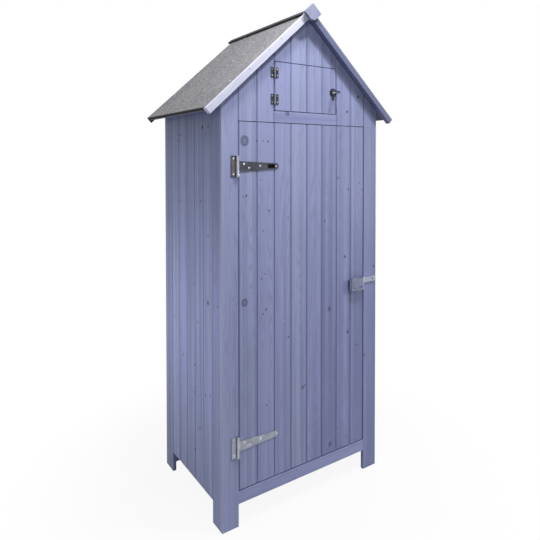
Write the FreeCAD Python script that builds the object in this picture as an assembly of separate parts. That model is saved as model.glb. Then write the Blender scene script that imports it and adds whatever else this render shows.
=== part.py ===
import FreeCAD, Part
import math
import os

# Garden storage cabinet: a narrow hut of tongued and grooved boards on four feet,
# with a steep felted roof, a tall door and a small loft door above it.
# Millimetres. +X is the viewer's right, +Y runs to the back, +Z is up.
# The origin is the centre of the base of the bounding box. The front faces -Y.

# Carcass
BODY_W = 660.0
BODY_D = 465.0
FACE_POST_W = 62.0
SIDE_POST_W = 65.0
BACK_POST_W = 50.0
BOARD_T = 12.0
FRONT_BOARDS = 8
SIDE_BOARDS = 5
FOOT_H = 73.0

# Tongue, groove and vee of a wall board
TONGUE_L = 5.0
TONGUE_T = 4.0
GROOVE_PLAY = 0.2
VEE = 2.8

# Inner battens
BATTEN_T = 18.0
RAIL_H = 40.0
HEAD_RAIL_H = 25.0
RAFTER_H = 25.0
RIDGE_BEAM_H = 60.0

# Doors, the header board between them and the sill board under them
DOOR_GAP = 2.5
HINGE_SIDE_OUT = 3.0
DOOR_LIFT = 5.0
SILL_GAP = 4.0
DOOR_H = 1182.0
HEADER_H = 37.5
LOFT_DOOR_H = 160.5
LOFT_DOOR_BOARDS = 4
STOP_LAP = 8.0

# Roof
ROOF_ANGLE = 42.5
WALL_ABOVE_LOFT = 22.95
EAVE_OVERHANG = 46.9
BACK_OVERHANG = 67.0
PANEL_T = 12.0
FELT_T = 2.5
EAVE_FOLD = 10.0
BACK_FOLD = 24.0
CAPPING_T = 6.6
CAPPING_W = 14.0
CAPPING_BACK = 16.0
BARGE_GAP = 6.0
BARGE_T = 18.0
BARGE_W = 21.0
BARGE_PROUD = 5.6
BARGE_PAST = 15.6
BLOCK_T = 14.0
BLOCK_HALF_W = 34.5
BLOCK_DROP = 9.0
BLOCK_FLAT_DROP = 32.5

# Floors, divider and shelves
FLOOR_T = 12.0
FLOOR_PLANKS = 4
PLANK_GAP = 1.0
SHELVES = 3
SHELF_T = 12.0
SHELF_SLATS = 4
SLAT_GAP = 18.0
BEARER_H = 25.0
DIVIDER_D = 30.0
DOOR_ROOM = 4.0

# Ledges and braces on the backs of the doors
LEDGE_T = 18.0
LEDGE_H = 60.0
LEDGE_CLEAR = 23.0
LEDGE_END = 110.0
BRACE_W = 50.0
BRACE_INSET = 30.0
LOFT_LEDGE_T = 15.0
LOFT_LEDGE_H = 34.0
LOFT_LEDGE_CLEAR = 30.0
LOFT_LEDGE_END = 31.0

# Room that moving metal keeps from what it passes
TOUCH_GAP = 0.3
KNUCKLE_PLAY = 0.4
PIN_PLAY = 0.05

# T hinges; heights and lengths count from the barrel
T_AXIS_PAST = 7.0
T_END = 142.5
T_BARREL_R = 5.0
T_PIN_R = 2.95
T_METAL = 2.0
T_PLATE_W = 22.0
T_PLATE_H = 68.0
T_STRAP_H = 35.0
T_STRAP_L = 157.0
T_TIP_R = 9.3
T_SCREW_R = 2.2
T_PLATE_SCREWS = ((-13.0, -25.0), (-13.0, 25.0))
T_STRAP_SCREWS = ((24.0, 8.0), (43.0, -5.0), (85.0, 1.5), (147.0, 0.0))

# Butt hinges of the small door
B_END = 36.0
B_BARREL_R = 2.8
B_PIN_R = 1.25
B_METAL = 1.5
B_LEAF_W = 15.0
B_LEAF_H = 34.0
B_KNUCKLE_H = 10.0
B_SCREW_R = 1.5
B_SCREW_OUT = 10.0
B_SCREW_UP = 10.5

# Hasp of the main door; its holes count from the barrel's middle
HASP_AXIS_IN = 70.5
HASP_ABOVE_MIDDLE = 7.5
HASP_BARREL_R = 5.5
HASP_PIN_R = 2.45
HASP_METAL = 2.0
HASP_BASE_W = 51.0
HASP_BASE_H = 39.0
HASP_KNUCKLE_H = 10.0
HASP_WEB_W = 4.0
HASP_PLATE_W = 58.5
HASP_PLATE_H = 47.0
HASP_PLATE_OUT = 13.6
HASP_HEEL = 2.5
HASP_BEND_RUN = 8.0
HASP_ARM_L = 126.5
HASP_ARM_H = 20.4
HASP_ARM_UP = 9.1
HASP_ARM_OUT = 1.5
HASP_CORNER_R = 4.0
HASP_SCREW_R = 2.6
HASP_SCREWS = ((11.0, -12.5), (45.9, -11.5))
LOCK_HOLE_R = 3.0
LOCK_HOLE_INSET = 13.4

# Latch of the small door
LATCH_IN = 17.0
LATCH_UP = 75.5
LATCH_ROSE_R = 15.5
LATCH_TAIL_L = 22.0
LATCH_TAIL_R = 5.0
LATCH_METAL = 1.5
LATCH_SCREW_R = 1.5
LATCH_SCREW_UP = 12.3
SPINDLE_R = 4.0
SPINDLE_PLAY = 0.08
COLLAR_R = 9.0
COLLAR_T = 4.5
WIRE_R = 2.0
LOOP_HALF_H = 7.0
LOOP_OUT = 37.5
LOOP_TIP_R = 3.0
LOOP_TURN = 37.0
TONGUE_BAR_L = 46.0
TONGUE_BAR_W = 12.0
TONGUE_BAR_T = 2.5
TONGUE_BAR_PLAY = 1.0

# How far a cutting tool runs past what it cuts
PAST = 20.0

# Places and sizes that follow from those above
SIN = math.sin(math.radians(ROOF_ANGLE))
COS = math.cos(math.radians(ROOF_ANGLE))
TAN = SIN / COS
HALF_W = BODY_W / 2
FRONT = -(BODY_D + BACK_OVERHANG + CAPPING_BACK - BARGE_GAP - BARGE_T - BLOCK_T) / 2
BACK = FRONT + BODY_D
IN_HALF_W = HALF_W - BOARD_T
IN_FRONT = FRONT + BOARD_T
IN_BACK = BACK - BOARD_T
RAIL_IN = IN_HALF_W - BATTEN_T
RAIL_FRONT = IN_FRONT + BATTEN_T
RAIL_BACK = IN_BACK - BATTEN_T
OPENING_HALF = HALF_W - FACE_POST_W
LOFT_HALF = OPENING_HALF * LOFT_DOOR_BOARDS / FRONT_BOARDS
FLOOR_Z = FOOT_H + RAIL_H
FLOOR_TOP = FLOOR_Z + FLOOR_T
DOOR_Z0 = FLOOR_Z + DOOR_LIFT
DOOR_Z1 = DOOR_Z0 + DOOR_H
HEADER_Z0 = DOOR_Z1 + DOOR_GAP
HEADER_Z1 = HEADER_Z0 + HEADER_H
LOFT_FLOOR_Z = HEADER_Z1 - FLOOR_T
LOFT_DOOR_Z0 = HEADER_Z1 + DOOR_GAP
LOFT_DOOR_Z1 = LOFT_DOOR_Z0 + LOFT_DOOR_H
ROOF_T = PANEL_T + FELT_T
APEX_Z = HEADER_Z1 + WALL_ABOVE_LOFT + HALF_W * TAN + ROOF_T / COS
EAVE_S = (HALF_W + EAVE_OVERHANG) / COS
ROOF_FRONT = FRONT - BARGE_GAP
ROOF_BACK = BACK + BACK_OVERHANG
SKY_Z = 2 * APEX_Z


# Basic solids
def box(x0, x1, y0, y1, z0, z1):
    return Part.makeBox(x1 - x0, y1 - y0, z1 - z0, FreeCAD.Vector(x0, y0, z0))


def prism_y(points, y0, y1):
    corners = [FreeCAD.Vector(x, y0, z) for x, z in points]
    face = Part.Face(Part.makePolygon(corners + corners[:1]))
    return face.extrude(FreeCAD.Vector(0, y1 - y0, 0))


def prism_z(points, z0, z1):
    corners = [FreeCAD.Vector(x, y, z0) for x, y in points]
    face = Part.Face(Part.makePolygon(corners + corners[:1]))
    return face.extrude(FreeCAD.Vector(0, 0, z1 - z0))


def rod_z(x, y, r, z0, z1):
    return Part.makeCylinder(r, z1 - z0, FreeCAD.Vector(x, y, z0), FreeCAD.Vector(0, 0, 1))


def rod_y(x, z, r, y0, y1):
    return Part.makeCylinder(r, y1 - y0, FreeCAD.Vector(x, y0, z), FreeCAD.Vector(0, 1, 0))


def mirror_x(shape):
    return shape.mirror(FreeCAD.Vector(0, 0, 0), FreeCAD.Vector(1, 0, 0))


# Where a straight edge meets a round tip: it starts to one side of the root and runs to the tip's circle.
# Both values count from the root's middle, one along the run and one across it.
def tip_touch(half, run, tip_r):
    turn = math.atan2(half, run) + math.acos(tip_r / math.hypot(half, run))
    return run - tip_r * math.cos(turn), tip_r * math.sin(turn)


# Rounds the edges along Y whose middle passes the test.
def round_corners(shape, radius, test):
    picked = []
    for edge in shape.Edges:
        run = edge.Vertexes[-1].Point - edge.Vertexes[0].Point
        if abs(run.y) > run.Length / 2 and test(edge.CenterOfMass):
            picked.append(edge)
    return shape.makeFillet(radius, picked)


def drill(shape, spots, radius):
    for x, z in spots:
        shape = shape.cut(rod_y(x, z, radius, FRONT - PAST, FRONT + PAST))
    return shape


parts = {}


# A piece made of several boards or copies keeps them as separate solids.
def add(name, *shapes):
    solids = [solid for shape in shapes for solid in shape.Solids]
    parts[name] = solids[0] if len(solids) == 1 else Part.makeCompound(solids)


# Roof slope: s runs down the slope from the ridge and n stands out of it.
# side is -1 on the left and 1 on the right.
def slope_point(side, s, n):
    return side * (s * COS + n * SIN), APEX_Z - s * SIN + n * COS


# A slab along the slope from the mitre at the ridge down to s_end
def slope_slab(side, s_end, n0, n1, y0, y1):
    points = [
        slope_point(side, -n0 * TAN, n0),
        slope_point(side, s_end, n0),
        slope_point(side, s_end, n1),
        slope_point(side, -n1 * TAN, n1),
    ]
    return prism_y(points, y0, y1)


# The room under the roof, to trim what stops at the slope
def under_roof(depth):
    top = APEX_Z - depth / COS
    reach = 2 * HALF_W
    low = top - reach * TAN
    points = [(-reach, 0), (reach, 0), (reach, low), (0, top), (-reach, low)]
    return prism_y(points, FRONT, BACK)


ROOF_ROOM = under_roof(ROOF_T)
RAFTER_ROOM = under_roof(ROOF_T + RAFTER_H)


# Walls: u runs along the wall and v goes inward from its outer face.
def front_wall(u, v):
    return u, FRONT + v


def back_wall(u, v):
    return u, BACK - v


def left_wall(u, v):
    return -HALF_W + v, u


def right_wall(u, v):
    return HALF_W - v, u


# One board from u0 to u1, with a vee on both face edges
def board(place, u0, u1, z0, z1, groove, tongue):
    v0 = (BOARD_T - TONGUE_T) / 2
    v1 = v0 + TONGUE_T
    outline = [(u0 + VEE, 0), (u1 - VEE, 0), (u1, VEE)]
    if tongue:
        outline += [(u1, v0), (u1 + TONGUE_L, v0), (u1 + TONGUE_L, v1), (u1, v1)]
    outline += [(u1, BOARD_T), (u0, BOARD_T)]
    if groove:
        bottom = u0 + TONGUE_L + GROOVE_PLAY
        low = v0 - GROOVE_PLAY
        high = v1 + GROOVE_PLAY
        outline += [(u0, high), (bottom, high), (bottom, low), (u0, low)]
    outline += [(u0, VEE)]
    return prism_z([place(u, v) for u, v in outline], z0, z1)


# Boards between the given edges. The row's two ends stay plain.
def board_row(place, edges, z0, z1):
    last = len(edges) - 2
    row = []
    for i in range(last + 1):
        plank = board(place, edges[i], edges[i + 1], z0, z1, i > 0, i < last)
        row.append(plank.common(ROOF_ROOM))
    return row


def even_edges(u0, u1, count):
    return [u0 + (u1 - u0) * i / count for i in range(count + 1)]


# The first front board is a little wider, so that the tall door's gap lies behind its hinge barrels.
FRONT_EDGES = even_edges(-OPENING_HALF, OPENING_HALF, FRONT_BOARDS)
FRONT_EDGES[0] -= HINGE_SIDE_OUT
SIDE_EDGES = even_edges(FRONT + SIDE_POST_W, BACK - SIDE_POST_W, SIDE_BOARDS)
BACK_EDGES = even_edges(BACK_POST_W - HALF_W, HALF_W - BACK_POST_W, FRONT_BOARDS)

# Where the hasp sits, because its lock hole goes on into the right post
hasp_x = OPENING_HALF - HASP_AXIS_IN
hasp_z = (DOOR_Z0 + DOOR_Z1) / 2 + HASP_ABOVE_MIDDLE
arm_tip_x = hasp_x + HASP_ARM_L
arm_z = hasp_z + HASP_ARM_UP
lock_spot = (arm_tip_x - LOCK_HOLE_INSET, arm_z)

# Corner posts: a face board with a side board behind it, both run down as the foot
right_posts = {}
for end, width, y0, y1, s0, s1 in (
    ("front", FACE_POST_W, FRONT, IN_FRONT, IN_FRONT, FRONT + SIDE_POST_W),
    ("back", BACK_POST_W, IN_BACK, BACK, BACK - SIDE_POST_W, IN_BACK),
):
    right_posts[end, "post_face"] = box(HALF_W - width, HALF_W, y0, y1, 0, SKY_Z)
    right_posts[end, "post_side"] = box(IN_HALF_W, HALF_W, s0, s1, 0, SKY_Z)
hinge_post_room = box(-HALF_W, FRONT_EDGES[0], FRONT, IN_FRONT, 0, SKY_Z)
for (end, piece), post in right_posts.items():
    post = post.common(ROOF_ROOM)
    left_post = mirror_x(post)
    if end == "front" and piece == "post_face":
        left_post = left_post.common(hinge_post_room)
        post = drill(post, [lock_spot], LOCK_HOLE_R)
    add(f"{end}_left_{piece}", left_post)
    add(f"{end}_right_{piece}", post)

# Side and back walls
add("left_wall_boards", *board_row(left_wall, SIDE_EDGES, FOOT_H, SKY_Z))
add("right_wall_boards", *board_row(right_wall, SIDE_EDGES, FOOT_H, SKY_Z))
add("back_wall_boards", *board_row(back_wall, BACK_EDGES, FOOT_H, SKY_Z))

# Front gable: boards beside the small door reach down to the main door, those over it stop short.
beside = (FRONT_BOARDS - LOFT_DOOR_BOARDS) // 2
left_edges = FRONT_EDGES[: beside + 1]
middle_edges = FRONT_EDGES[beside:-beside]
right_edges = FRONT_EDGES[-beside - 1 :]
over_z = LOFT_DOOR_Z1 + DOOR_GAP
add("front_gable_left_boards", *board_row(front_wall, left_edges, HEADER_Z0, SKY_Z))
add("front_gable_right_boards", *board_row(front_wall, right_edges, HEADER_Z0, SKY_Z))
add("front_gable_top_boards", *board_row(front_wall, middle_edges, over_z, SKY_Z))
add("header_board", box(-LOFT_HALF, LOFT_HALF, FRONT, IN_FRONT, HEADER_Z0, HEADER_Z1))

# Rails under the floor and the loft floor. The front one at the loft also stops the main door.
# The front one at the floor carries a sill board, flush with the posts.
sill = box(FRONT_EDGES[0], OPENING_HALF, FRONT, IN_FRONT, FOOT_H, DOOR_Z0 - SILL_GAP)
for z, front_name, level, facing in (
    (FOOT_H, "front_bottom_rail", "bottom", [sill]),
    (LOFT_FLOOR_Z - RAIL_H, "door_lintel", "loft", []),
):
    side_rail = box(RAIL_IN, IN_HALF_W, RAIL_FRONT, RAIL_BACK, z, z + RAIL_H)
    front_rail = box(-IN_HALF_W, IN_HALF_W, IN_FRONT, RAIL_FRONT, z, z + RAIL_H)
    add(front_name, front_rail, *facing)
    add(f"back_{level}_rail", box(-IN_HALF_W, IN_HALF_W, RAIL_BACK, IN_BACK, z, z + RAIL_H))
    add(f"left_{level}_rail", mirror_x(side_rail))
    add(f"right_{level}_rail", side_rail)

# Rail over the small door, between the front rafters, which stops that door
head_z = LOFT_DOOR_Z1 - STOP_LAP
head_rail = box(-IN_HALF_W, IN_HALF_W, IN_FRONT, RAIL_FRONT, head_z, head_z + HEAD_RAIL_H)
add("loft_head_rail", head_rail.common(RAFTER_ROOM))

# Rafters inside each gable, and the beam between them
inside = box(-IN_HALF_W, IN_HALF_W, IN_FRONT, IN_BACK, 0, SKY_Z)
for side, hand in ((-1, "left"), (1, "right")):
    for end, y0, y1 in (("front", IN_FRONT, RAIL_FRONT), ("back", RAIL_BACK, IN_BACK)):
        rafter = slope_slab(side, EAVE_S, -ROOF_T - RAFTER_H, -ROOF_T, y0, y1)
        add(f"{end}_{hand}_rafter", rafter.common(inside))
beam_z = APEX_Z - ROOF_T / COS - RIDGE_BEAM_H
beam = box(-BATTEN_T / 2, BATTEN_T / 2, RAIL_FRONT, RAIL_BACK, beam_z, SKY_Z)
add("ridge_beam", beam.common(ROOF_ROOM))

# Roof panels, and the felt over them, folded down at the eaves and at the back
for side, hand in ((-1, "left"), (1, "right")):
    panel = slope_slab(side, EAVE_S - FELT_T, -ROOF_T, -FELT_T, ROOF_FRONT, ROOF_BACK - FELT_T)
    add(f"{hand}_roof_panel", panel)
    eave = [
        slope_point(side, EAVE_S - FELT_T, -EAVE_FOLD),
        slope_point(side, EAVE_S, -EAVE_FOLD),
        slope_point(side, EAVE_S, -FELT_T / 2),
        slope_point(side, EAVE_S - FELT_T, -FELT_T / 2),
    ]
    felt = slope_slab(side, EAVE_S, -FELT_T, 0, ROOF_FRONT, ROOF_BACK)
    felt = felt.fuse(prism_y(eave, ROOF_FRONT, ROOF_BACK))
    felt = felt.fuse(slope_slab(side, EAVE_S, -BACK_FOLD, 0, ROOF_BACK - FELT_T, ROOF_BACK))
    add(f"{hand}_roof_felt", felt.removeSplitter())

# Ridge capping over the joint of the two felts
capping_y1 = ROOF_BACK + CAPPING_BACK
capping = slope_slab(-1, CAPPING_W, 0, CAPPING_T, ROOF_FRONT, capping_y1)
capping = capping.fuse(slope_slab(1, CAPPING_W, 0, CAPPING_T, ROOF_FRONT, capping_y1))
add("ridge_capping", capping.removeSplitter())

# Barge boards on the front edge of the roof, and the block over their joint
barge_y0 = ROOF_FRONT - BARGE_T
barge_s = (HALF_W + EAVE_OVERHANG + BARGE_PAST - BARGE_PROUD * SIN) / COS
for side, hand in ((-1, "left"), (1, "right")):
    barge = slope_slab(side, barge_s, BARGE_PROUD - BARGE_W, BARGE_PROUD, barge_y0, ROOF_FRONT)
    add(f"{hand}_barge_board", barge)
block_z = APEX_Z - BLOCK_DROP
flat_z = APEX_Z - BLOCK_FLAT_DROP
flat_half = BLOCK_HALF_W - (block_z - flat_z) / TAN
block_points = [
    (0, block_z + BLOCK_HALF_W * TAN),
    (BLOCK_HALF_W, block_z),
    (flat_half, flat_z),
    (-flat_half, flat_z),
    (-BLOCK_HALF_W, block_z),
]
add("apex_block", prism_y(block_points, barge_y0 - BLOCK_T, barge_y0))


# A level row of planks that run along X
def plank_row(x0, x1, y0, y1, top, thickness, count, gap):
    step = (y1 - y0 + gap) / count
    row = []
    for i in range(count):
        start = y0 + i * step
        row.append(box(x0, x1, start, start + step - gap, top - thickness, top))
    return row


for name, top in (("floor_boards", FLOOR_TOP), ("loft_floor_boards", HEADER_Z1)):
    add(name, *plank_row(-IN_HALF_W, IN_HALF_W, IN_FRONT, IN_BACK, top, FLOOR_T, FLOOR_PLANKS, PLANK_GAP))

# Divider posts in the middle, with bearers and slatted shelves to their right
store_y = IN_FRONT + LEDGE_T + DOOR_ROOM
divider_x = BATTEN_T / 2
add(
    "divider_posts",
    box(-divider_x, divider_x, store_y, store_y + DIVIDER_D, FLOOR_TOP, LOFT_FLOOR_Z),
    box(-divider_x, divider_x, RAIL_BACK - DIVIDER_D, RAIL_BACK, FLOOR_TOP, LOFT_FLOOR_Z),
)
bearers = []
for i in range(SHELVES):
    top = FLOOR_TOP + (LOFT_FLOOR_Z - FLOOR_TOP) * (i + 1) / (SHELVES + 1)
    z1 = top - SHELF_T
    for x0 in (divider_x, RAIL_IN):
        bearers.append(box(x0, x0 + BATTEN_T, store_y, IN_BACK, z1 - BEARER_H, z1))
    slats = plank_row(divider_x, IN_HALF_W, store_y, IN_BACK, top, SHELF_T, SHELF_SLATS, SLAT_GAP)
    add(f"shelf_{i + 1}", *slats)
add("shelf_bearers", *bearers)

# Main door: boards, three ledges, and a brace between each two of them
door_edges = [FRONT_EDGES[0] + DOOR_GAP] + FRONT_EDGES[1:-1] + [FRONT_EDGES[-1] - DOOR_GAP]
ledge_half = OPENING_HALF - LEDGE_CLEAR
ledge_back = IN_FRONT + LEDGE_T
ledge_mids = (DOOR_Z0 + LEDGE_END, (DOOR_Z0 + DOOR_Z1) / 2, DOOR_Z1 - LEDGE_END)
ledges = []
for mid in ledge_mids:
    z0 = mid - LEDGE_H / 2
    ledges.append(box(-ledge_half, ledge_half, IN_FRONT, ledge_back, z0, z0 + LEDGE_H))
braces = []
for low, high in zip(ledge_mids[:-1], ledge_mids[1:]):
    z0 = low + LEDGE_H / 2
    z1 = high - LEDGE_H / 2
    x0 = BRACE_INSET - ledge_half
    x1 = ledge_half - BRACE_INSET
    foot = BRACE_W * math.hypot(x1 - x0, z1 - z0) / (z1 - z0)
    outline = [(x0, z0), (x0 + foot, z0), (x1, z1), (x1 - foot, z1)]
    braces.append(prism_y(outline, IN_FRONT, ledge_back))
add("main_door_boards", *board_row(front_wall, door_edges, DOOR_Z0, DOOR_Z1))
add("main_door_ledges", *ledges)
add("main_door_braces", *braces)

# Small door: boards bored for the latch's spindle, and two ledges
latch_x = LOFT_HALF - LATCH_IN
latch_z = LOFT_DOOR_Z0 + LATCH_UP
latch_spot = [(latch_x, latch_z)]
bore_r = SPINDLE_R + SPINDLE_PLAY
loft_edges = [DOOR_GAP - LOFT_HALF] + middle_edges[1:-1] + [LOFT_HALF - DOOR_GAP]
loft_boards = board_row(front_wall, loft_edges, LOFT_DOOR_Z0, LOFT_DOOR_Z1)
add("small_door_boards", *[drill(plank, latch_spot, bore_r) for plank in loft_boards])
loft_ledges = []
for mid in (LOFT_DOOR_Z0 + LOFT_LEDGE_END, LOFT_DOOR_Z1 - LOFT_LEDGE_END):
    z0 = mid - LOFT_LEDGE_H / 2
    half = LOFT_HALF - LOFT_LEDGE_CLEAR
    loft_ledges.append(box(-half, half, IN_FRONT, IN_FRONT + LOFT_LEDGE_T, z0, z0 + LOFT_LEDGE_H))
add("small_door_ledges", *loft_ledges)

# T hinges: a frame plate with two knuckles, and a tapered strap with the middle one
t_x = -OPENING_HALF - T_AXIS_PAST
t_y = FRONT - T_BARREL_R - TOUCH_GAP
t_face = FRONT - T_METAL
t_half = T_STRAP_H / 2
t_bore_r = T_PIN_R + PIN_PLAY


def t_plate(mid):
    z0 = mid - T_PLATE_H / 2
    z1 = mid + T_PLATE_H / 2
    inner_x = t_x - T_BARREL_R - TOUCH_GAP
    plate = box(t_x - T_PLATE_W, inner_x, t_face, FRONT, z0, z1)
    notch = t_half + KNUCKLE_PLAY
    for k0, k1 in ((z0, mid - notch), (mid + notch, z1)):
        plate = plate.fuse(box(inner_x, t_x, t_face, FRONT, k0, k1))
        plate = plate.fuse(rod_z(t_x, t_y, T_BARREL_R, k0, k1))
    plate = plate.cut(rod_z(t_x, t_y, t_bore_r, z0, z1))
    spots = [(t_x + dx, mid + dz) for dx, dz in T_PLATE_SCREWS]
    return drill(plate, spots, T_SCREW_R).removeSplitter()


# The strap tapers along the two tangents from its root's corners to the round tip.
def t_strap(mid):
    touch_run, touch_h = tip_touch(t_half, T_STRAP_L - T_TIP_R, T_TIP_R)
    touch_x = t_x + touch_run
    top_root = FreeCAD.Vector(t_x, t_face, mid + t_half)
    top_touch = FreeCAD.Vector(touch_x, t_face, mid + touch_h)
    tip = FreeCAD.Vector(t_x + T_STRAP_L, t_face, mid)
    low_touch = FreeCAD.Vector(touch_x, t_face, mid - touch_h)
    low_root = FreeCAD.Vector(t_x, t_face, mid - t_half)
    edges = [
        Part.makeLine(top_root, top_touch),
        Part.Arc(top_touch, tip, low_touch).toShape(),
        Part.makeLine(low_touch, low_root),
        Part.makeLine(low_root, top_root),
    ]
    strap = Part.Face(Part.Wire(edges)).extrude(FreeCAD.Vector(0, T_METAL, 0))
    strap = strap.fuse(rod_z(t_x, t_y, T_BARREL_R, mid - t_half, mid + t_half))
    strap = strap.cut(rod_z(t_x, t_y, t_bore_r, mid - t_half, mid + t_half))
    spots = [(t_x + dx, mid + dz) for dx, dz in T_STRAP_SCREWS]
    return drill(strap, spots, T_SCREW_R).removeSplitter()


t_mids = (DOOR_Z0 + T_END, DOOR_Z1 - T_END)
t_pins = [rod_z(t_x, t_y, T_PIN_R, mid - T_PLATE_H / 2, mid + T_PLATE_H / 2) for mid in t_mids]
add("t_hinge_plates", *[t_plate(mid) for mid in t_mids])
add("t_hinge_straps", *[t_strap(mid) for mid in t_mids])
add("t_hinge_pins", *t_pins)

# Butt hinges: the frame leaf has the two outer knuckles and the door leaf the middle one
b_x = DOOR_GAP / 2 - LOFT_HALF
b_y = FRONT - B_BARREL_R - TOUCH_GAP
b_face = FRONT - B_METAL


def butt_leaf(mid, side, spans):
    near = b_x + side * (B_BARREL_R + TOUCH_GAP)
    far = b_x + side * B_LEAF_W
    z0 = mid - B_LEAF_H / 2
    z1 = mid + B_LEAF_H / 2
    leaf = box(min(near, far), max(near, far), b_face, FRONT, z0, z1)
    for k0, k1 in spans:
        leaf = leaf.fuse(box(min(b_x, near), max(b_x, near), b_face, FRONT, k0, k1))
        leaf = leaf.fuse(rod_z(b_x, b_y, B_BARREL_R, k0, k1))
    leaf = leaf.cut(rod_z(b_x, b_y, B_PIN_R + PIN_PLAY, z0, z1))
    spots = [(b_x + side * B_SCREW_OUT, mid + dz) for dz in (-B_SCREW_UP, B_SCREW_UP)]
    return drill(leaf, spots, B_SCREW_R).removeSplitter()


frame_leaves = []
door_leaves = []
butt_pins = []
for mid in (LOFT_DOOR_Z0 + B_END, LOFT_DOOR_Z1 - B_END):
    z0 = mid - B_LEAF_H / 2
    z1 = mid + B_LEAF_H / 2
    outer = ((z0, z0 + B_KNUCKLE_H), (z1 - B_KNUCKLE_H, z1))
    middle = (z0 + B_KNUCKLE_H + KNUCKLE_PLAY, z1 - B_KNUCKLE_H - KNUCKLE_PLAY)
    frame_leaves.append(butt_leaf(mid, -1, outer))
    door_leaves.append(butt_leaf(mid, 1, (middle,)))
    butt_pins.append(rod_z(b_x, b_y, B_PIN_R, z0, z1))
add("butt_hinge_frame_leaves", *frame_leaves)
add("butt_hinge_door_leaves", *door_leaves)
add("butt_hinge_pins", *butt_pins)

# Hasp of the main door: a base with two knuckles, and a stepped leaf on the middle one.
# The leaf's plate stands off the door and its narrow arm lies in front of the post.
plate_back = FRONT - HASP_PLATE_OUT
arm_back = FRONT - HASP_ARM_OUT
hasp_y = plate_back + HASP_BARREL_R + TOUCH_GAP
base_z0 = hasp_z - HASP_BASE_H / 2
base_z1 = hasp_z + HASP_BASE_H / 2
low_span = (base_z0, base_z0 + HASP_KNUCKLE_H)
high_span = (base_z1 - HASP_KNUCKLE_H, base_z1)
hasp_bore = rod_z(hasp_x, hasp_y, HASP_PIN_R + PIN_PLAY, base_z0, base_z1)
base_x0 = hasp_x - HASP_BARREL_R
hasp_base = box(base_x0, hasp_x + HASP_BASE_W, FRONT - HASP_METAL, FRONT, base_z0, base_z1)
for k0, k1 in (low_span, high_span):
    hasp_base = hasp_base.fuse(box(base_x0, hasp_x + HASP_BARREL_R, hasp_y, FRONT, k0, k1))
    hasp_base = hasp_base.fuse(rod_z(hasp_x, hasp_y, HASP_BARREL_R, k0, k1))
add("main_hasp_base", hasp_base.cut(hasp_bore).removeSplitter())
add("main_hasp_pin", rod_z(hasp_x, hasp_y, HASP_PIN_R, base_z0, base_z1))

heel_x = hasp_x - HASP_HEEL
bend_x = hasp_x + HASP_PLATE_W
step_x = bend_x + HASP_BEND_RUN
plate_z0 = hasp_z - HASP_PLATE_H / 2
plate_z1 = hasp_z + HASP_PLATE_H / 2
side_view = [
    (heel_x, plate_back - HASP_METAL),
    (bend_x, plate_back - HASP_METAL),
    (step_x, arm_back - HASP_METAL),
    (arm_tip_x, arm_back - HASP_METAL),
    (arm_tip_x, arm_back),
    (step_x - HASP_METAL / 2, arm_back),
    (bend_x - HASP_METAL / 2, plate_back),
    (heel_x, plate_back),
]
plate_view = box(heel_x, step_x, FRONT - PAST, FRONT, plate_z0, plate_z1)
plate_view = round_corners(plate_view, HASP_CORNER_R, lambda p: p.x < bend_x)
arm_view = box(bend_x, arm_tip_x, FRONT - PAST, FRONT, arm_z - HASP_ARM_H / 2, arm_z + HASP_ARM_H / 2)
arm_view = round_corners(arm_view, HASP_CORNER_R, lambda p: p.x > step_x)
hasp_leaf = prism_z(side_view, plate_z0, plate_z1).common(plate_view.fuse(arm_view))
k0 = low_span[1] + KNUCKLE_PLAY
k1 = high_span[0] - KNUCKLE_PLAY
web = box(hasp_x - HASP_WEB_W / 2, hasp_x + HASP_WEB_W / 2, plate_back, hasp_y, k0, k1)
knuckle = web.fuse(rod_z(hasp_x, hasp_y, HASP_BARREL_R, k0, k1)).cut(hasp_bore)
hasp_leaf = hasp_leaf.fuse(knuckle)
hasp_leaf = drill(hasp_leaf, [(hasp_x + dx, hasp_z + dz) for dx, dz in HASP_SCREWS], HASP_SCREW_R)
hasp_leaf = drill(hasp_leaf, [lock_spot], LOCK_HOLE_R)
add("main_hasp_leaf", hasp_leaf.removeSplitter())

# Latch of the small door: a rose with a tail, and a spindle with a wire loop outside and a tongue inside.
# The loop tapers to a small round tip, and its plane stands turned from the tongue's.
latch_face = FRONT - LATCH_METAL
tail_z = latch_z - LATCH_TAIL_L
plate = rod_y(latch_x, latch_z, LATCH_ROSE_R, latch_face, FRONT)
plate = plate.fuse(rod_y(latch_x, tail_z, LATCH_TAIL_R, latch_face, FRONT))
plate = plate.fuse(box(latch_x - LATCH_TAIL_R, latch_x + LATCH_TAIL_R, latch_face, FRONT, tail_z, latch_z))
plate = drill(plate, latch_spot, bore_r).removeSplitter()
screw_spots = [(latch_x, latch_z + LATCH_SCREW_UP), (latch_x, tail_z)]
add("small_latch_plate", drill(plate, screw_spots, LATCH_SCREW_R))

collar_back = latch_face - TOUCH_GAP
collar_front = collar_back - COLLAR_T
collar_mid = (collar_front + collar_back) / 2
bar_front = IN_FRONT + TONGUE_BAR_PLAY
bar_back = bar_front + TONGUE_BAR_T
tip_y = FRONT - LOOP_OUT + WIRE_R
touch_out, touch_up = tip_touch(LOOP_HALF_H, collar_mid - tip_y - LOOP_TIP_R, LOOP_TIP_R)
top_end = FreeCAD.Vector(latch_x, collar_mid, latch_z + LOOP_HALF_H)
top_touch = FreeCAD.Vector(latch_x, collar_mid - touch_out, latch_z + touch_up)
loop_tip = FreeCAD.Vector(latch_x, tip_y, latch_z)
low_touch = FreeCAD.Vector(latch_x, collar_mid - touch_out, latch_z - touch_up)
low_end = FreeCAD.Vector(latch_x, collar_mid, latch_z - LOOP_HALF_H)
loop_path = Part.Wire(
    [
        Part.makeLine(top_end, top_touch),
        Part.Arc(top_touch, loop_tip, low_touch).toShape(),
        Part.makeLine(low_touch, low_end),
    ]
)
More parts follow.
